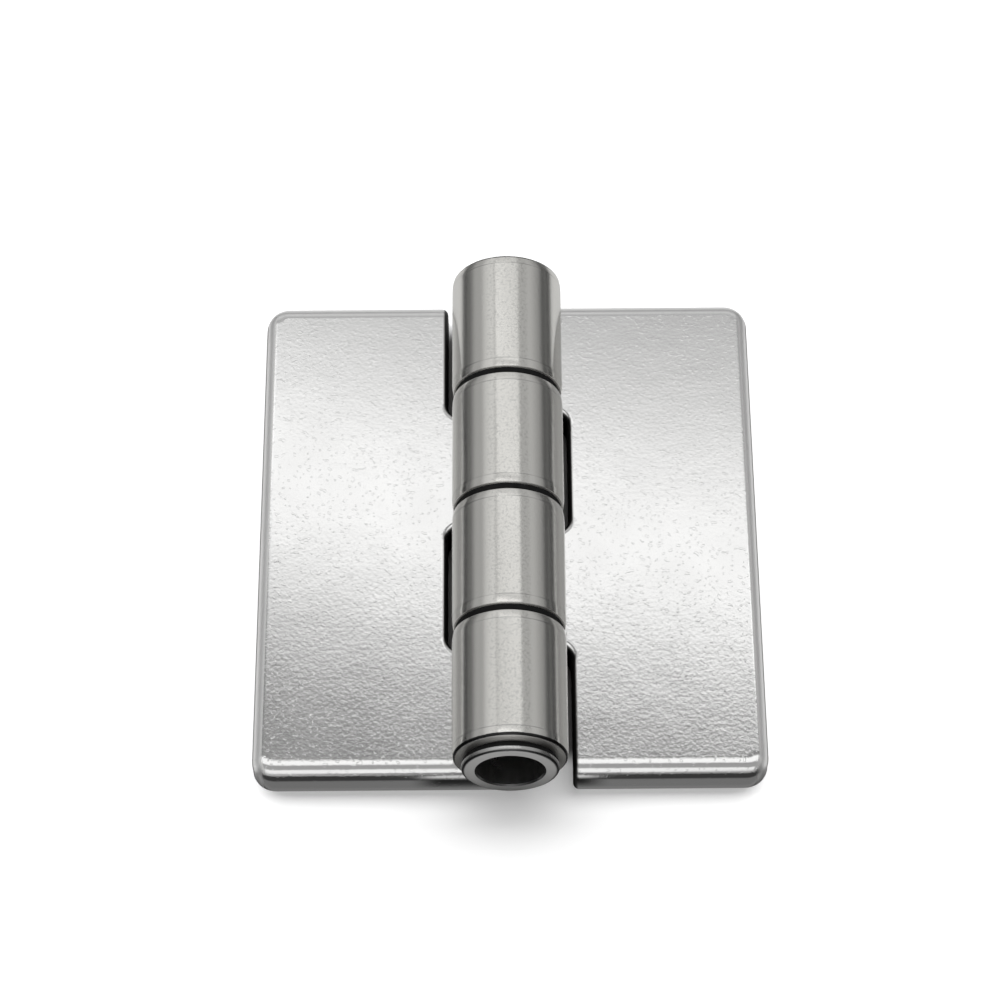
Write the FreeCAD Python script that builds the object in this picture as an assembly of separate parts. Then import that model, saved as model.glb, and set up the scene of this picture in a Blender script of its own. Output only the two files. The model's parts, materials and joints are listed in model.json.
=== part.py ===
import FreeCAD, Part
import math
import os

# Weld-on hinge, all sizes in millimetres.
# The pivot axis is the Y axis, the origin is the middle of the barrel, and +Z is up.
# The hinge lies open and flat: both undersides are in one plane below the axis.

os.makedirs("parts", exist_ok=True)

# Leaves
OPEN_WIDTH = 60.0
LEAF_LENGTH = 65.0
LEAF_THICKNESS = 4.3
AXIS_HEIGHT = 8.25
OUTER_CORNER_RADIUS = 2.8
TOP_EDGE_RADIUS = 2.1
TOE_RADIUS = 1.5
BLEND_RADIUS = 0.8

# Notches round the other leaf's knuckles
NOTCH_CLEARANCE = 0.6
NOTCH_CORNER_RADIUS = 2.0
NOTCH_EDGE_RADIUS = 0.8

# Barrel
BARREL_DIAMETER = 13.4
KNUCKLE_PITCH = 16.1
KNUCKLE_GAP = 0.9
CROWN_LENGTH = 1.2
CROWN_DROP = 0.15
END_EDGE_RADIUS = 0.4
GAP_EDGE_RADIUS = 0.15

# Hollow pin with its collar at the near end
KNUCKLE_WALL = 1.9
PIN_WALL = 0.85
PIN_RUNNING_CLEARANCE = 0.05
PIN_MOUTH_CHAMFER = 0.2
COLLAR_RISE = 0.9
COLLAR_THICKNESS = 0.55
COLLAR_EDGE_RADIUS = 0.5
FLARE_DEPTH = 0.7
FLARE_RISE = 0.55
FLARE_SETBACK = 0.05

# Washers, each set back a little from the rim beside it
WASHER_SETBACK = 0.35
WASHER_EDGE_RADIUS = 0.15
WASHER_SIDE_CLEARANCE = 0.05
COLLAR_WASHER_THICKNESS = 0.9
COLLAR_WASHER_SETBACK = 0.05
COLLAR_WASHER_EDGE_RADIUS = 0.75

# Places worked out from the sizes above
HALF_WIDTH = OPEN_WIDTH / 2
LEAF_END = LEAF_LENGTH / 2
UNDERSIDE = -AXIS_HEIGHT
LEAF_TOP = UNDERSIDE + LEAF_THICKNESS
BARREL_RADIUS = BARREL_DIAMETER / 2
HALF_GAP = KNUCKLE_GAP / 2
NOTCH_WALL = BARREL_RADIUS + NOTCH_CLEARANCE
KNUCKLE_BORE_RADIUS = BARREL_RADIUS - KNUCKLE_WALL
PIN_RADIUS = KNUCKLE_BORE_RADIUS - PIN_RUNNING_CLEARANCE
PIN_BORE_RADIUS = PIN_RADIUS - PIN_WALL
WASHER_BORE_RADIUS = PIN_RADIUS + PIN_RUNNING_CLEARANCE
COLLAR_RADIUS = PIN_RADIUS + COLLAR_RISE
COLLAR_WASHER_FACE = -LEAF_END - WASHER_SIDE_CLEARANCE
COLLAR_BACK = COLLAR_WASHER_FACE - COLLAR_WASHER_THICKNESS
COLLAR_FACE = COLLAR_BACK - COLLAR_THICKNESS

# The two knuckles of the left leaf, each from its near end to its far end.
# The right leaf is the same casting turned by half a turn, so its knuckles fill the rest.
NEAR_KNUCKLE = (-LEAF_END, -KNUCKLE_PITCH - HALF_GAP)
MIDDLE_KNUCKLE = (HALF_GAP, KNUCKLE_PITCH - HALF_GAP)

AXIS_DIRECTION = FreeCAD.Vector(0, 1, 0)
UP = FreeCAD.Vector(0, 0, 1)

# Cutters reach past the solid by the overrun, and the blend's hidden side lies at a share of its reach
OVERRUN = 1.0
BLEND_ROOT = 0.8
TOLERANCE = 1e-4


def point(x, y, z):
    return FreeCAD.Vector(x, y, z)


def line(start, end):
    return Part.makeLine(start, end)


def arc(start, middle, end):
    return Part.Arc(start, middle, end).toShape()


def rod(radius, near, far):
    """Round bar on the pivot axis."""
    return Part.makeCylinder(radius, far - near, point(0, near, 0), AXIS_DIRECTION)


def turned(outline):
    """Solid of revolution about the pivot axis from a closed outline of (radius, y) points."""
    corners = [point(radius, along, 0) for radius, along in outline]
    face = Part.Face(Part.makePolygon(corners + corners[:1]))
    return face.revolve(point(0, 0, 0), AXIS_DIRECTION, 360)


def round_rim(solid, radius, along, rounding):
    """Round the circular edge of the given radius that lies at the given place on the axis."""
    rims = []
    for edge in solid.Edges:
        box = edge.BoundBox
        flat = abs(box.YMin - along) < TOLERANCE and abs(box.YMax - along) < TOLERANCE
        if flat and abs(box.XMax - radius) < TOLERANCE:
            rims.append(edge)
    return solid.makeFillet(rounding, rims)


def knuckle(near, far, near_edge, far_edge):
    """One knuckle without its bore: a cylinder polished down a little towards both ends."""
    crown_radius = (CROWN_LENGTH ** 2 + CROWN_DROP ** 2) / (2 * CROWN_DROP)
    half_drop = crown_radius - math.sqrt(crown_radius ** 2 - (CROWN_LENGTH / 2) ** 2)
    end_radius = BARREL_RADIUS - CROWN_DROP
    outline = Part.Wire([
        line(point(0, near, 0), point(end_radius, near, 0)),
        arc(point(end_radius, near, 0),
            point(BARREL_RADIUS - half_drop, near + CROWN_LENGTH / 2, 0),
            point(BARREL_RADIUS, near + CROWN_LENGTH, 0)),
        line(point(BARREL_RADIUS, near + CROWN_LENGTH, 0),
             point(BARREL_RADIUS, far - CROWN_LENGTH, 0)),
        arc(point(BARREL_RADIUS, far - CROWN_LENGTH, 0),
            point(BARREL_RADIUS - half_drop, far - CROWN_LENGTH / 2, 0),
            point(end_radius, far, 0)),
        line(point(end_radius, far, 0), point(0, far, 0)),
        line(point(0, far, 0), point(0, near, 0)),
    ])
    solid = Part.Face(outline).revolve(point(0, 0, 0), AXIS_DIRECTION, 360)
    solid = round_rim(solid, end_radius, near, near_edge)
    return round_rim(solid, end_radius, far, far_edge)


def notch(near, far):
    """Cutter for the room round one knuckle of the other leaf, with rounded inner corners."""
    block = Part.makeBox(NOTCH_WALL + OVERRUN, far - near, LEAF_THICKNESS + 2 * OVERRUN,
                         point(-NOTCH_WALL, near, UNDERSIDE - OVERRUN))
    inner_corners = [edge for edge in block.Edges
                     if is_upright(edge) and edge.BoundBox.XMax < 0 and edge.BoundBox.YMax < LEAF_END]
    return block.makeFillet(NOTCH_CORNER_RADIUS, inner_corners)


def is_upright(edge):
    return max(edge.BoundBox.XLength, edge.BoundBox.YLength) < TOLERANCE


def plate():
    """Flat of the left leaf: rounded outside, rounded toe under the axis, and two notches."""
    solid = Part.makeBox(HALF_WIDTH, LEAF_LENGTH, LEAF_THICKNESS,
                         point(-HALF_WIDTH, -LEAF_END, UNDERSIDE))
    outer_corners = [edge for edge in solid.Edges if is_upright(edge) and edge.BoundBox.XMax < -TOLERANCE]
    solid = solid.makeFillet(OUTER_CORNER_RADIUS, outer_corners)
    top_rim = [edge for edge in edges_above(solid, LEAF_TOP) if edge.BoundBox.XMin < -TOLERANCE]
    solid = solid.makeFillet(TOP_EDGE_RADIUS, top_rim)
    toe = [edge for edge in solid.Edges
           if edge.BoundBox.XMin > -TOLERANCE and edge.BoundBox.ZMax < UNDERSIDE + TOLERANCE]
    solid = solid.makeFillet(TOE_RADIUS, toe)
    for near, far in ((NEAR_KNUCKLE[1], MIDDLE_KNUCKLE[0]), (MIDDLE_KNUCKLE[1], LEAF_END + OVERRUN)):
        solid = solid.cut(notch(near, far))
    return solid.makeFillet(NOTCH_EDGE_RADIUS, notch_rims(solid))


def edges_above(solid, height):
    return [edge for edge in solid.Edges if edge.BoundBox.ZMin > height - TOLERANCE]


def notch_rims(solid):
    """Top edges of the notch walls, with the upright corner where a wall meets the leaf's far end."""
    rims = [edge for edge in edges_above(solid, LEAF_TOP)
            if edge.BoundBox.XMin > -NOTCH_WALL - TOLERANCE and edge.BoundBox.XMax < -TOLERANCE]
    for edge in solid.Edges:
        box = edge.BoundBox
        on_wall = abs(box.XMin + NOTCH_WALL) < TOLERANCE and box.XLength < TOLERANCE
        if on_wall and box.YMax > LEAF_END - TOLERANCE and box.ZLength > TOLERANCE:
            rims.append(edge)
    return rims


def leaf():
    """Left leaf: plate and two knuckles in one casting, blended together and bored for the pin."""
    solid = plate()
    solid = solid.fuse(knuckle(*NEAR_KNUCKLE, END_EDGE_RADIUS, GAP_EDGE_RADIUS))
    solid = solid.fuse(knuckle(*MIDDLE_KNUCKLE, GAP_EDGE_RADIUS, GAP_EDGE_RADIUS))
    solid = solid.fuse(blend(NEAR_KNUCKLE[0] + TOP_EDGE_RADIUS, NEAR_KNUCKLE[1] - CROWN_LENGTH))
    solid = solid.fuse(blend(MIDDLE_KNUCKLE[0] + CROWN_LENGTH, MIDDLE_KNUCKLE[1] - CROWN_LENGTH))
    solid = solid.removeSplitter()
    return solid.cut(rod(KNUCKLE_BORE_RADIUS, -LEAF_END - OVERRUN, LEAF_END + OVERRUN))


def blend(near, far):
    """Hollow rounding in the corner between the plate's top and a knuckle, tangent to both."""
    centre_height = LEAF_TOP + BLEND_RADIUS
    centre_reach = math.sqrt((BARREL_RADIUS + BLEND_RADIUS) ** 2 - centre_height ** 2)
    centre = point(-centre_reach, near, centre_height)
    towards_axis = point(centre_reach, 0, -centre_height).normalize()
    foot = centre - UP * BLEND_RADIUS
    top = centre + towards_axis * BLEND_RADIUS
    middle = centre + (towards_axis - UP).normalize() * BLEND_RADIUS
    hidden_reach = top.x * BLEND_ROOT
    hidden_depth = LEAF_TOP - OVERRUN
    hidden_corners = [point(hidden_reach, near, top.z), point(hidden_reach, near, hidden_depth),
                      point(foot.x, near, hidden_depth)]
    outline = [arc(foot, middle, top)]
    for start, end in zip([top] + hidden_corners, hidden_corners + [foot]):
        outline.append(line(start, end))
    return Part.Face(Part.Wire(outline)).extrude(point(0, far - near, 0))


def flare_seat():
    """Cutter for the countersink at the far end, in which the pin's flared end turns."""
    clear = PIN_RUNNING_CLEARANCE
    mouth = PIN_RADIUS + FLARE_RISE + clear
    return turned([(0, LEAF_END - FLARE_DEPTH), (KNUCKLE_BORE_RADIUS, LEAF_END - FLARE_DEPTH),
                   (mouth, LEAF_END), (mouth, LEAF_END + OVERRUN), (0, LEAF_END + OVERRUN)])


def hollow_pin():
    """Tube with a flat collar at the near end and a small flare at the far end."""
    far = LEAF_END - FLARE_SETBACK
    solid = turned([
        (PIN_BORE_RADIUS, COLLAR_FACE + PIN_MOUTH_CHAMFER),
        (PIN_BORE_RADIUS + PIN_MOUTH_CHAMFER, COLLAR_FACE),
        (COLLAR_RADIUS, COLLAR_FACE),
        (COLLAR_RADIUS, COLLAR_BACK),
        (PIN_RADIUS, COLLAR_BACK),
        (PIN_RADIUS, far - FLARE_DEPTH),
        (PIN_RADIUS + FLARE_RISE, far),
        (PIN_BORE_RADIUS + FLARE_RISE, far),
        (PIN_BORE_RADIUS, far - FLARE_DEPTH),
    ])
    return round_rim(solid, COLLAR_RADIUS, COLLAR_FACE, COLLAR_EDGE_RADIUS)


def gap_washer(middle):
    """Flat washer that fills the gap between two knuckles."""
    half = HALF_GAP - WASHER_SIDE_CLEARANCE
    outer = BARREL_RADIUS - WASHER_SETBACK
    solid = turned([(WASHER_BORE_RADIUS, middle - half), (outer, middle - half),
                    (outer, middle + half), (WASHER_BORE_RADIUS, middle + half)])
    solid = round_rim(solid, outer, middle - half, WASHER_EDGE_RADIUS)
    return round_rim(solid, outer, middle + half, WASHER_EDGE_RADIUS)


def collar_washer():
    """Thicker washer between the collar and the barrel, rounded on the barrel's side."""
    outer = COLLAR_RADIUS - COLLAR_WASHER_SETBACK
    solid = turned([(WASHER_BORE_RADIUS, COLLAR_BACK), (outer, COLLAR_BACK),
                    (outer, COLLAR_WASHER_FACE), (WASHER_BORE_RADIUS, COLLAR_WASHER_FACE)])
    return round_rim(solid, outer, COLLAR_WASHER_FACE, COLLAR_WASHER_EDGE_RADIUS)


def half_turn(solid):
    turned_round = solid.copy()
    turned_round.rotate(point(0, 0, 0), UP, 180)
    return turned_round


def write(name, solid):
    solid.exportStep("parts/" + name + ".step")


left_leaf = leaf()
right_leaf = half_turn(left_leaf).cut(flare_seat())

write("left_leaf", left_leaf)
write("right_leaf", right_leaf)
write("hollow_pin", hollow_pin())
write("collar_washer", collar_washer())
write("near_washer", gap_washer(-KNUCKLE_PITCH))
write("middle_washer", gap_washer(0))
write("far_washer", gap_washer(KNUCKLE_PITCH))
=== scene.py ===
import json
import math
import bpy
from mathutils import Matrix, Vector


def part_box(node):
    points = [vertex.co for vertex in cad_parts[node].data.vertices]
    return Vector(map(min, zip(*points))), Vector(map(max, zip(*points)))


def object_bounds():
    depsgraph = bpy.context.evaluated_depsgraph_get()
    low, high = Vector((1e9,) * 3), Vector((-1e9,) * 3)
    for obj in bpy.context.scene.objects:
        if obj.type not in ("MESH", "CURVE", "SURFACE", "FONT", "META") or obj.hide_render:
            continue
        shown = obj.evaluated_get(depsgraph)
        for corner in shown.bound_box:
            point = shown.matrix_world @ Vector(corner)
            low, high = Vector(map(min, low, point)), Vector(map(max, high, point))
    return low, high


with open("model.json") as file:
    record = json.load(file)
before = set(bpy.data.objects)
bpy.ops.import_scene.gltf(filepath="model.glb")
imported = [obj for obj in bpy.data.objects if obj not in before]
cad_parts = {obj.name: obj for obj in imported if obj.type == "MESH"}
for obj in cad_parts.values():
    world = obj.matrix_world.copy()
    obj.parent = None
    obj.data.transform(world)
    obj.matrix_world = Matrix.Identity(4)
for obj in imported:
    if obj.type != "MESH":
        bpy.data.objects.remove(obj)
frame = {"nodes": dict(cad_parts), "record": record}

from types import SimpleNamespace

import bpy
import numpy as np
from mathutils import Matrix, Vector

cad_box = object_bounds()

# Places and sizes of the hinge, in metres, read from the frame
MM = 0.001
OBJECT_LOW, OBJECT_HIGH = cad_box
FLOOR_HEIGHT = OBJECT_LOW.z
HALF_WIDTH = OBJECT_HIGH.x
LEAF_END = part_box("left_leaf")[1].y
BARREL_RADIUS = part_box("left_leaf")[1].z
NOTCH_REACH = BARREL_RADIUS + 1.5 * MM

# Camera: its place is measured from the middle of the barrel, and its angles are in radians
CAMERA_PLACE = Vector((-0.463, -189.951, 332.504)) * MM
CAMERA_YAW = -0.00267
CAMERA_PITCH = 1.04798
CAMERA_ROLL = -0.00989
FOCAL_SHARE = 3.2129
SENSOR_WIDTH = 36.0
NEAREST_SEEN = 10 * MM

# Colours of the cast steel, with painted highlight and painted shade on some of its parts
BLASTED_STEEL = (0.730, 0.728, 0.722, 1.0)
POLISHED_STEEL = (0.825, 0.815, 0.780, 1.0)
# Lighter colour on the leaf's rims: a painted highlight, so that the rounded edges read brighter
RIM_PAINTED_HIGHLIGHT = (0.920, 0.918, 0.910, 1.0)
# Dark colour on the leaf's walls that face sideways: painted shade, for the dark slots and side edges
WALL_PAINTED_SHADE = (0.300, 0.298, 0.292, 1.0)
PIT_GREY = (0.420, 0.418, 0.410, 1.0)
# Near black: a painted dark reflection on the barrel's end rims, and painted shade on the notch walls
PAINTED_DARK = (0.04, 0.04, 0.04, 1.0)

# Gloss of the cast steel, and the depth of its grain
LEAF_ROUGHNESS = 0.12
BARREL_ROUGHNESS = 0.22
RIM_ROUGHNESS = 0.36
END_ROUGHNESS = 0.52
STRETCHED_GLOSS = 0.90
QUARTER_TURN = 0.25
GRAIN_DEPTH = 0.0105 * MM

# The blasting is coarsest at the near end, and fine from a little before the middle
COARSE_END = -30 * MM
FINE_GRAIN_FROM = -4 * MM
FEW_FLECKS_FROM = -6 * MM

# Darker line round a knuckle, measured from the knuckle's end
LINE_FROM = 1.08 * MM
LINE_TO = 1.20 * MM

# Pin, collar and washers
TURNED_STEEL = (0.560, 0.557, 0.548, 1.0)
# Dark colour on the rounded edges of the pin and collar: a painted dark reflection
EDGE_PAINTED_REFLECTION = (0.10, 0.10, 0.10, 1.0)
BLACK_WASHER = (0.003, 0.003, 0.003, 1.0)
WORN_WASHER = (0.009, 0.009, 0.009, 1.0)
WASHER_SHEEN = 0.05
SCRATCH_DEPTH = 0.02 * MM

# The light tent: how bright it is at each angle in degrees from straight above.
# Along the barrel the angle runs from the camera's side (negative) to the back (positive).
TENT_ALONG = (
    (-90, 0.04), (-76, 0.05),                            # dark foot in front
    (-70, 1.20), (-52, 1.20),                            # front soft box
    (-46, 0.45), (-24, 0.42),                            # dim cloth
    (-17, 1.25), (6, 1.32),                              # top soft box
    (11, 0.30), (19, 0.19), (24, 0.37),                  # dark gap
    (27, 1.66), (30.5, 1.66), (33.5, 0.86),              # narrow soft box with a soft far edge
    (38, 0.46), (60, 0.80), (74, 0.45), (90, 0.35))      # back wall

# Across the barrel the angle runs from the left (negative) to the right (positive).
TENT_ACROSS = (
    (-110, 0.22), (-97, 0.12),                           # below the left horizon
    (-91, 0.18), (-87, 0.18),                            # pale line on the horizon
    (-84, 0.12), (-78, 0.22), (-70, 0.42), (-55, 0.38),  # left wall, dark at its foot
    (-46, 0.62), (-28, 0.74),                            # left panel
    (-26, 0.46), (-23.5, 0.56),                          # gap to the left of the strip
    (23.5, 0.52), (28, 0.42), (34, 0.45), (39, 0.42),    # gap to the right of the strip
    (44, 0.50), (52, 0.48), (62, 0.38), (72, 0.30),      # right wall
    (77, 0.12), (84, 0.06),                              # its dark foot
    (89, 0.20), (94, 0.20),                              # pale line on the horizon
    (98, 0.06), (110, 0.20))                             # below the right horizon
STRIP_EDGE = math.radians(23.5)
STRIP_SOFT = math.radians(1.5)
TENT_TURN = math.radians(9.5)
TENT_RADIUS = 0.45
TENT_ROWS = 24
TENT_COLUMNS = 64

# The apron, which is the tent's sheet on the floor: how bright its parts are
APRON_IN_FRONT = 0.20
APRON_BESIDE = 0.65
APRON_WING = 1.20
APRON_DARK = 0.05
COLLAR_GLOW = 0.75
COLLAR_SHADE = 0.02
APRON_LIFT = 0.05 * MM

# Floor, background and lamp
FLOOR_SIZE = 6.0
PALE_FLOOR = (0.78, 0.78, 0.78, 1.0)
# Darker floor colour right under the barrel: painted shade
FLOOR_PAINTED_SHADE = (0.25, 0.25, 0.25, 1.0)
FLOOR_GLOW = 0.20
SIDE_GLOW = 0.50
WHITE = (1.0, 1.0, 1.0, 1.0)
WORLD_LIGHT = 0.42
KEY_WIDTH = 1.80
KEY_DEPTH = 0.30
KEY_POWER = 6.4
KEY_PLACE = Vector((0.0, 0.215, 0.45))


def make_camera():
    """The camera's axes come from its yaw, pitch and roll."""
    yaw, pitch, roll = CAMERA_YAW, CAMERA_PITCH, CAMERA_ROLL
    forward = Vector((math.sin(yaw) * math.cos(pitch), math.cos(yaw) * math.cos(pitch), -math.sin(pitch)))
    right = Vector((math.cos(yaw), -math.sin(yaw), 0.0))
    up = right.cross(forward)
    rolled_right = math.cos(roll) * right + math.sin(roll) * up
    rolled_up = -math.sin(roll) * right + math.cos(roll) * up
    axes = Matrix((rolled_right, rolled_up, -forward)).transposed()
    data = bpy.data.cameras.new("camera")
    data.sensor_width = SENSOR_WIDTH
    data.lens = FOCAL_SHARE * SENSOR_WIDTH
    data.clip_start = NEAREST_SEEN
    camera = bpy.data.objects.new("camera", data)
    camera.matrix_world = Matrix.Translation(CAMERA_PLACE) @ axes.to_4x4()
    bpy.context.scene.collection.objects.link(camera)
    bpy.context.scene.camera = camera


class Shader:
    """A small helper that adds nodes to one node tree and joins them."""

    def __init__(self, tree, output="OutputMaterial"):
        self.tree = tree
        self.tree.nodes.clear()
        self.out = self.node(output)

    def node(self, kind, **settings):
        node = self.tree.nodes.new("ShaderNode" + kind)
        for name, value in settings.items():
            setattr(node, name, value)
        return node

    def put(self, socket, value):
        """Links the socket to another one, or sets it to a plain value."""
        if isinstance(value, bpy.types.NodeSocket):
            self.tree.links.new(value, socket)
        else:
            socket.default_value = value

    def maths(self, operation, first, second=0.0):
        node = self.node("Math", operation=operation)
        self.put(node.inputs[0], first)
        self.put(node.inputs[1], second)
        return node.outputs[0]

    def times(self, first, second):
        return self.maths("MULTIPLY", first, second)

    def plus(self, first, second):
        return self.maths("ADD", first, second)

    def minus(self, first, second):
        return self.maths("SUBTRACT", first, second)

    def larger(self, first, second):
        return self.maths("MAXIMUM", first, second)

    def absolute(self, value):
        return self.maths("ABSOLUTE", value)

    def opposite(self, share):
        """1 where the share is 0, and 0 where it is 1."""
        return self.minus(1.0, share)

    def step(self, value, low, high, below=0.0, above=1.0):
        """Smooth step from one value to another while the input goes from low to high."""
        node = self.node("MapRange", interpolation_type="SMOOTHSTEP")
        for socket, given in zip(node.inputs, (value, low, high, below, above)):
            self.put(socket, given)
        return node.outputs[0]

    def fall(self, value, low, high):
        """Smooth step down from 1 to 0."""
        return self.step(value, low, high, 1.0, 0.0)

    def between(self, value, low, high, soft):
        """1 between low and high, and 0 outside, with soft edges."""
        rise = self.step(value, low - soft, low + soft)
        return self.times(rise, self.fall(value, high - soft, high + soft))

    def mix(self, share, first, second):
        """first + share * (second - first)"""
        node = self.node("Mix", data_type="FLOAT")
        self.put(node.inputs[0], share)
        self.put(node.inputs[2], first)
        self.put(node.inputs[3], second)
        return node.outputs[0]

    def mix_colour(self, share, first, second):
        node = self.node("Mix", data_type="RGBA")
        self.put(node.inputs[0], share)
        self.put(node.inputs[6], first)
        self.put(node.inputs[7], second)
        return node.outputs[2]

    def place(self):
        return self.node("TexCoord").outputs["Object"]

    def facing(self):
        return self.node("TexCoord").outputs["Normal"]

    def parts_of(self, vector):
        node = self.node("SeparateXYZ")
        self.put(node.inputs[0], vector)
        return node.outputs[0], node.outputs[1], node.outputs[2]

    def vector(self, x, y, z):
        node = self.node("CombineXYZ")
        for socket, value in zip(node.inputs, (x, y, z)):
            self.put(socket, value)
        return node.outputs[0]

    def noise(self, vector, per_mm, detail=2.0, roughness=0.5, distortion=0.0):
        """Noise with the given number of grains to a millimetre."""
        node = self.node("TexNoise")
        self.put(node.inputs["Vector"], vector)
        self.put(node.inputs["Scale"], per_mm / MM)
        self.put(node.inputs["Detail"], detail)
        self.put(node.inputs["Roughness"], roughness)
        self.put(node.inputs["Distortion"], distortion)
        return node.outputs["Fac"]

    def to_world(self, vector, kind="VECTOR"):
        """Turns a direction with the object, so that it stays right when a leaf swings."""
        node = self.node("VectorTransform", vector_type=kind, convert_from="OBJECT", convert_to="WORLD")
        self.put(node.inputs[0], vector)
        return node.outputs[0]

    def bump(self, height, strength, distance, normal=None):
        node = self.node("Bump")
        self.put(node.inputs["Strength"], strength)
        self.put(node.inputs["Distance"], distance)
        self.put(node.inputs["Height"], height)
        if normal is not None:
            self.put(node.inputs["Normal"], normal)
        return node.outputs[0]

    def by_angle(self, angle, stops):
        """Level read from (degrees, level) stops, with straight lines between them."""
        first = math.radians(stops[0][0])
        span = math.radians(stops[-1][0]) - first
        ramp = self.node("ValToRGB")
        marks = ramp.color_ramp.elements
        for index, (degrees, level) in enumerate(stops):
            where = (math.radians(degrees) - first) / span
            mark = marks[index] if index < 2 else marks.new(where)
            mark.position = where
            mark.color = (level, level, level, 1.0)
        self.put(ramp.inputs[0], self.maths("DIVIDE", self.minus(angle, first), span))
        return ramp.outputs[0]


def new_material(name):
    material = bpy.data.materials.new(name)
    material.use_nodes = True
    return material, Shader(material.node_tree)


def axis_distance(s, x, z):
    """Square root of x * x + z * z"""
    return s.maths("SQRT", s.plus(s.times(x, x), s.times(z, z)))


def steel(s, colour, roughness, normal):
    surface = s.node("BsdfPrincipled")
    surface.inputs["Metallic"].default_value = 1.0
    s.put(surface.inputs["Base Color"], colour)
    s.put(surface.inputs["Roughness"], roughness)
    s.put(surface.inputs["Normal"], normal)
    s.put(s.out.inputs["Surface"], surface.outputs[0])
    return surface


def cast_spots(s):
    """The places on a leaf and its knuckles: each spot is 1 on its part and 0 off it, with soft edges."""
    at = SimpleNamespace(place=s.place())
    at.x, at.y, at.z = s.parts_of(at.place)
    at.side, at.along, at.up = s.parts_of(s.facing())
    at.leaf = s.step(axis_distance(s, at.x, at.z), BARREL_RADIUS + 0.05 * MM, BARREL_RADIUS + 0.4 * MM)
    at.barrel = s.opposite(at.leaf)
    at.top = s.times(at.leaf, s.step(s.absolute(at.up), 0.90, 0.99))
    at.wall = s.times(at.leaf, s.step(s.absolute(at.side), 0.88, 0.95))
    at.crest = s.times(at.barrel, s.step(at.up, 0.91, 0.95))
    at.end_face = s.times(at.barrel, s.step(s.absolute(at.along), 0.85, 0.97))
    at.tight_side = tight_side(s, at)
    at.rim = s.times(at.leaf, s.step(s.larger(s.absolute(at.tight_side), at.along), 0.05, 0.50))
    # Spots painted near black: a dark reflection on the end rims, and shade on the notch walls
    at.raw = s.larger(end_ring(s, at), notch_wall(s, at))
    return at


def tight_side(s, at):
    """How far the surface faces sideways, held back on the leaf so that its side rims look tighter."""
    held_back = s.mix(at.leaf, 1.0, s.step(s.absolute(at.side), 0.22, 0.75))
    return s.times(at.side, held_back)


def end_ring(s, at):
    """1 on the rounded rims of the barrel's two outer ends, which are painted near black as a dark
    reflection.
    """
    at_end = s.step(s.absolute(at.y), LEAF_END - 0.6 * MM, LEAF_END - 0.4 * MM)
    return s.times(s.times(at.barrel, at_end), s.between(s.absolute(at.along), 0.35, 0.93, 0.04))


def notch_wall(s, at):
    """1 on the walls of the notches, which face the barrel and are painted near black as shade."""
    outward = s.times(s.maths("SIGN", at.x), at.side)
    beside_barrel = s.fall(s.absolute(at.x), NOTCH_REACH - 0.3 * MM, NOTCH_REACH + 0.2 * MM)
    return s.times(s.times(at.leaf, beside_barrel), s.fall(outward, -0.60, -0.15))


def end_lines(s, y):
    """1 on a fine line round each knuckle near both of its ends, and 0 elsewhere."""
    edges = [-LEAF_END]
    for washer in ("near_washer", "middle_washer", "far_washer"):
        low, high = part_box(washer)
        edges += [low.y, high.y]
    edges.append(LEAF_END)
    lines = 0.0
    for start, stop in zip(edges[0::2], edges[1::2]):
        half = (stop - start) / 2
        from_middle = s.absolute(s.minus(y, start + half))
        lines = s.plus(lines, s.between(from_middle, half - LINE_TO, half - LINE_FROM, 0.05 * MM))
    return lines


def cast_height(s, at):
    """Blasted leaf: grains, swells, waves and flecks added up. Polished barrel: grains and small dimples."""
    grains = s.noise(at.place, 2.3, 1.0, 0.4, 0.3)
    swells = s.noise(at.place, 0.65, 1.0, 0.5)
    waves = s.noise(at.place, 0.17, 2.0, 0.5)
    flecks = s.step(s.noise(at.place, 2.1, 0.0), 0.67, 0.74)
    fleck_height = s.step(at.y, COARSE_END, FEW_FLECKS_FROM, 1.60, 0.65)
    fine = s.plus(grains, s.times(swells, 0.5))
    blasted = s.plus(fine, s.plus(s.times(waves, 2.4), s.times(flecks, fleck_height)))
    dimples = s.step(s.noise(at.place, 1.5, 2.0, 0.5), 0.55, 0.75)
    polished = s.plus(s.times(dimples, 0.5), s.times(grains, 0.4))
    return s.mix(at.leaf, polished, blasted)


def cast_strength(s, at):
    """The grain is weakest on the leaf's rims, and on its flat top it grows towards the near end."""
    coarse = s.step(at.y, COARSE_END, FINE_GRAIN_FROM, 0.85, 0.20)
    on_leaf = s.plus(s.times(at.leaf, 0.40), s.times(at.top, coarse))
    return s.plus(s.times(at.barrel, 0.60), on_leaf)


def cast_roughness(s, at):
    """One roughness for each kind of surface, with faint clouds over all of them."""
    rough = s.mix(at.leaf, BARREL_ROUGHNESS, LEAF_ROUGHNESS)
    rough = s.mix(at.rim, rough, RIM_ROUGHNESS)
    rough = s.mix(at.end_face, rough, END_ROUGHNESS)
    clouds = s.minus(s.noise(at.place, 0.12, 3.0, 0.6), 0.5)
    return s.plus(rough, s.times(clouds, 0.04))


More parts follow.
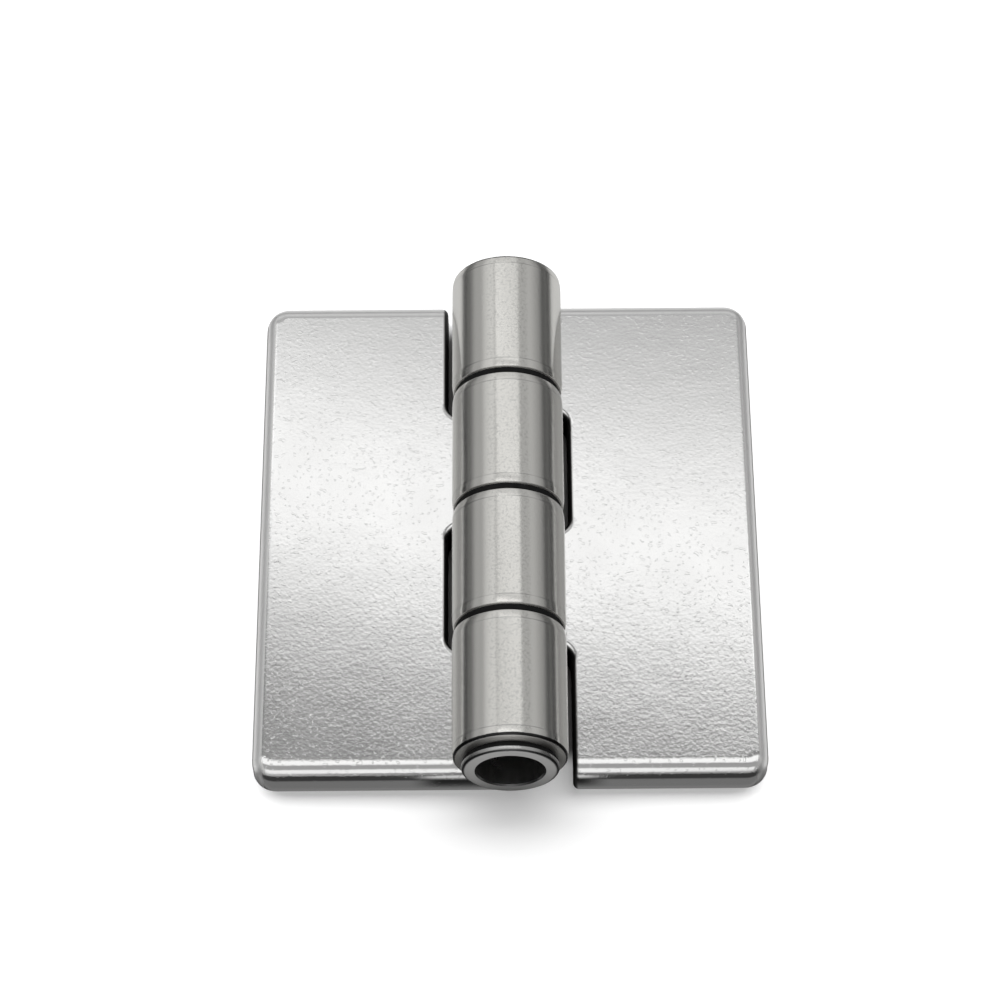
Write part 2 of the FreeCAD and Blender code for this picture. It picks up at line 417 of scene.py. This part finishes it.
def cast_colour(s, at):
    """Polished barrel with pits on its crest and darker lines near the knuckle ends, then the leaf, its rims
    lighter as a painted highlight, its sideways walls darker as painted shade, and near-black spots: a
    painted dark reflection on the barrel's end rims and painted shade on the notch walls.
    """
    pits = s.times(at.crest, s.step(s.noise(at.place, 3.4, 1.0, 0.6), 0.45, 0.75))
    line_strength = s.step(s.noise(at.place, 0.42, 1.0, 0.5), 0.38, 0.60, 0.20, 0.60)
    colour = s.mix_colour(s.times(pits, 0.30), POLISHED_STEEL, PIT_GREY)
    colour = s.mix_colour(s.times(end_lines(s, at.y), line_strength), colour, PIT_GREY)
    colour = s.mix_colour(at.leaf, colour, BLASTED_STEEL)
    # Painted highlight: the leaf's rims are lighter
    colour = s.mix_colour(at.rim, colour, RIM_PAINTED_HIGHLIGHT)
    # Painted shade: the leaf's walls that face sideways are darker
    colour = s.mix_colour(at.wall, colour, WALL_PAINTED_SHADE)
    # Painted dark reflection on the barrel's end rims and painted shade on the notch walls, near black
    return s.mix_colour(at.raw, colour, PAINTED_DARK)


def cast_steel():
    """Blasted leaves, a barrel polished round and round, and matt turned ends on the barrel.

    The gloss follows a tangent that runs round the axis, (z, 0, -x), and leans along it on the leaf's rims.
    """
    material, s = new_material("cast_steel")
    at = cast_spots(s)
    rounded = s.to_world(s.vector(at.tight_side, at.along, at.up), "NORMAL")
    normal = s.bump(cast_height(s, at), cast_strength(s, at), GRAIN_DEPTH, rounded)
    surface = steel(s, cast_colour(s, at), cast_roughness(s, at), normal)
    surface.inputs["Anisotropic"].default_value = STRETCHED_GLOSS
    surface.inputs["Anisotropic Rotation"].default_value = QUARTER_TURN
    s.put(surface.inputs["Tangent"], s.to_world(s.vector(at.z, at.rim, s.times(at.x, -1.0))))
    return material


def turned_steel():
    """Pin and collar: fine turning marks round the axis, matt faces, and rounded edges darkened as a painted
    dark reflection.
    """
    material, s = new_material("turned_steel")
    place = s.place()
    x, y, z = s.parts_of(place)
    facing_along = s.absolute(s.parts_of(s.facing())[1])
    marks = s.noise(s.vector(axis_distance(s, x, z), y, 0.0), 9.0, 2.0, 0.5)
    clouds = s.minus(s.noise(place, 0.4, 2.0, 0.5), 0.5)
    rough = s.step(facing_along, 0.80, 0.97, 0.26, 0.48)
    rough = s.plus(rough, s.times(clouds, 0.10))
    # Painted dark reflection on the rounded edges
    edge = s.between(facing_along, 0.62, 0.95, 0.05)
    colour = s.mix_colour(edge, TURNED_STEEL, EDGE_PAINTED_REFLECTION)
    steel(s, colour, rough, s.bump(marks, 0.12, SCRATCH_DEPTH))
    return material


def black_washer():
    """Dull black plastic, worn a little in clouds."""
    material, s = new_material("black_washer")
    place = s.place()
    specks = s.noise(place, 3.0, 2.0, 0.5)
    surface = s.node("BsdfPrincipled")
    surface.inputs["Specular IOR Level"].default_value = WASHER_SHEEN
    s.put(surface.inputs["Base Color"], s.mix_colour(s.noise(place, 0.7), BLACK_WASHER, WORN_WASHER))
    s.put(surface.inputs["Roughness"], s.step(specks, 0.3, 0.7, 0.46, 0.62))
    s.put(surface.inputs["Normal"], s.bump(specks, 0.2, SCRATCH_DEPTH))
    s.put(s.out.inputs["Surface"], surface.outputs[0])
    return material


def glow(s, strength):
    """The surface gives off light of the given strength, and nothing else."""
    emission = s.node("Emission")
    s.put(emission.inputs["Strength"], strength)
    s.put(s.out.inputs["Surface"], emission.outputs[0])


def seen_directly(s):
    """1 for what the eye, metal and glass see, and 0 for light that falls on something dull."""
    path = s.node("LightPath")
    seen = s.larger(path.outputs["Is Camera Ray"], path.outputs["Is Glossy Ray"])
    return s.larger(seen, path.outputs["Is Transmission Ray"])


def beyond_object(s, x, y):
    """0 on the floor under the object, and 1 outside its edges."""
    sideways = s.minus(s.absolute(x), HALF_WIDTH)
    along = s.minus(s.absolute(y), LEAF_END)
    return s.step(s.larger(sideways, along), -1.0 * MM, 0.2 * MM)


def under_barrel(s, x, y):
    """1 on the floor right under the barrel, where painted shade goes, and 0 elsewhere."""
    near_axis = s.between(x, -NOTCH_REACH, NOTCH_REACH, 0.8 * MM)
    return s.times(near_axis, s.between(y, -LEAF_END + 4 * MM, LEAF_END - 2 * MM, 1.2 * MM))


def floor_material():
    """Pale floor: diffuse, so that it keeps the shadow, with a little light of its own for the eye; right
    under the barrel it is darker and gives off none, as painted shade.
    """
    material, s = new_material("pale_floor")
    x, y, z = s.parts_of(s.place())
    shaded = under_barrel(s, x, y)
    diffuse = s.node("BsdfDiffuse")
    s.put(diffuse.inputs["Color"], s.mix_colour(shaded, PALE_FLOOR, FLOOR_PAINTED_SHADE))
    level = s.step(s.absolute(x), HALF_WIDTH - 4 * MM, HALF_WIDTH + 1.5 * MM, FLOOR_GLOW, SIDE_GLOW)
    emission = s.node("Emission")
    s.put(emission.inputs["Strength"], s.times(s.times(seen_directly(s), level), s.opposite(shaded)))
    both = s.node("AddShader")
    s.put(both.inputs[0], diffuse.outputs[0])
    s.put(both.inputs[1], emission.outputs[0])
    s.put(s.out.inputs["Surface"], both.outputs[0])
    return material


def tent_material():
    """Light of the tent: a strip of soft boxes overhead along the barrel, and panels on both sides.

    Along the barrel the angle is the arcsine of the direction's y, with the whole tent turned a little to
    one side, and across the barrel it is the arctangent of x over z.
    """
    material, s = new_material("tent_light")
    towards = s.node("VectorMath", operation="NORMALIZE")
    s.put(towards.inputs[0], s.place())
    x, y, z = s.parts_of(towards.outputs[0])
    turned_y = s.plus(s.times(y, math.cos(TENT_TURN)), s.times(x, math.sin(TENT_TURN)))
    along = s.maths("ARCSINE", turned_y)
    across = s.maths("ARCTAN2", x, z)
    strip = s.between(across, -STRIP_EDGE, STRIP_EDGE, STRIP_SOFT)
    glow(s, s.mix(strip, s.by_angle(across, TENT_ACROSS), s.by_angle(along, TENT_ALONG)))
    return material


def apron_material():
    """What the lower edges mirror: bright beside the leaves, dim at their foot, dark in front and far out."""
    material, s = new_material("tent_floor")
    x, y, z = s.parts_of(s.place())
    side = s.absolute(x)

    behind_edge = s.step(y, -LEAF_END - 0.5 * MM, -LEAF_END + 0.5 * MM)
    level = s.mix(behind_edge, APRON_IN_FRONT, APRON_BESIDE)
    beside_leaf = s.step(side, HALF_WIDTH - 1 * MM, HALF_WIDTH)
    wing = s.times(beside_leaf, s.between(y, -LEAF_END, LEAF_END + 3 * MM, 1 * MM))
    level = s.mix(wing, level, APRON_WING)

    far_out = s.step(side, HALF_WIDTH + 12 * MM, HALF_WIDTH + 20 * MM)
    in_front = s.fall(y, -LEAF_END - 4 * MM, -LEAF_END - 2 * MM)
    level = s.mix(s.larger(far_out, in_front), level, APRON_DARK)
    close_by = s.fall(side, HALF_WIDTH + 2 * MM, HALF_WIDTH + 4 * MM)
    foot = s.times(s.between(y, -LEAF_END, LEAF_END, 0.5 * MM), close_by)
    level = s.times(level, s.mix(foot, 1.0, APRON_DARK))

    before_edge = s.fall(y, -LEAF_END - 1 * MM, -LEAF_END)
    under_collar = s.times(s.fall(side, 8 * MM, 12 * MM), before_edge)
    collar_level = s.step(y, -LEAF_END - 9.5 * MM, -LEAF_END - 2.5 * MM, COLLAR_GLOW, COLLAR_SHADE)
    level = s.mix(under_collar, level, collar_level)
    glow(s, s.times(level, beyond_object(s, x, y)))
    return material


def add_mesh(name, verts, faces, material):
    mesh = bpy.data.meshes.new(name)
    mesh.from_pydata(verts, [], faces)
    mesh.materials.append(material)
    thing = bpy.data.objects.new(name, mesh)
    bpy.context.scene.collection.objects.link(thing)
    return thing


def square(name, size, height, material):
    """Level square round the origin: its corners are half a size away along x and along y."""
    half = size / 2
    corners = [(-half, -half, height), (half, -half, height), (half, half, height), (-half, half, height)]
    return add_mesh(name, corners, [(0, 1, 2, 3)], material)


def tent():
    """Half globe over the object, from the floor up, on a grid of tilts t and turns h.

    Each point is (cos t cos h, cos t sin h, sin t) times the tent's radius.
    """
    lowest = math.asin(FLOOR_HEIGHT / TENT_RADIUS)
    tilts = np.linspace(lowest, math.pi / 2, TENT_ROWS)
    turns = np.linspace(0.0, 2 * math.pi, TENT_COLUMNS, endpoint=False)
    tilt, turn = np.meshgrid(tilts, turns, indexing="ij")
    direction = np.stack([np.cos(tilt) * np.cos(turn), np.cos(tilt) * np.sin(turn), np.sin(tilt)], axis=-1)
    verts = TENT_RADIUS * direction.reshape(-1, 3)
    index = np.arange(TENT_ROWS * TENT_COLUMNS).reshape(TENT_ROWS, TENT_COLUMNS)
    beside = np.roll(index, -1, axis=1)
    faces = np.stack([index[:-1], index[1:], beside[1:], beside[:-1]], axis=-1).reshape(-1, 4)
    return add_mesh("tent", verts.tolist(), faces.tolist(), tent_material())


def mirrored_only(thing):
    """The thing is seen only in the metal, as the cards of a studio are."""
    thing.visible_camera = False
    thing.visible_diffuse = False
    thing.visible_shadow = False
    thing.visible_transmission = False
    thing.visible_volume_scatter = False


def make_world():
    """Plain white to the eye, and dimmer as light on the floor."""
    world = bpy.data.worlds.new("studio")
    world.use_nodes = True
    s = Shader(world.node_tree, "OutputWorld")
    background = s.node("Background")
    s.put(background.inputs["Color"], WHITE)
    s.put(background.inputs["Strength"], s.mix(seen_directly(s), WORLD_LIGHT, 1.0))
    s.put(s.out.inputs["Surface"], background.outputs[0])
    bpy.context.scene.world = world


def make_key():
    """Soft box behind and above the object, turned towards it; the tent stands for it in the metal."""
    data = bpy.data.lights.new("key", "AREA")
    data.shape = "RECTANGLE"
    data.size = KEY_WIDTH
    data.size_y = KEY_DEPTH
    data.energy = KEY_POWER
    lamp = bpy.data.objects.new("key", data)
    turn = KEY_PLACE.to_track_quat("Z", "Y").to_matrix().to_4x4()
    lamp.matrix_world = Matrix.Translation(KEY_PLACE) @ turn
    lamp.visible_glossy = False
    bpy.context.scene.collection.objects.link(lamp)


def make_studio():
    floor = square("floor", FLOOR_SIZE, FLOOR_HEIGHT, floor_material())
    globe = tent()
    apron = square("apron", 2 * TENT_RADIUS, FLOOR_HEIGHT + APRON_LIFT, apron_material())
    mirrored_only(globe)
    mirrored_only(apron)
    make_world()
    make_key()


def dress():
    """Gives each node of the frame the finish that its material slot names."""
    finishes = {"cast_steel": cast_steel(), "turned_steel": turned_steel(), "black_washer": black_washer()}
    slots = {part["node"]: part["material_slot"] for part in frame["record"]["subparts"]}
    for node, thing in frame["nodes"].items():
        thing.material_slots[0].material = finishes[slots[node]]


make_camera()
make_studio()
dress()
bpy.context.scene.view_settings.view_transform = "Standard"
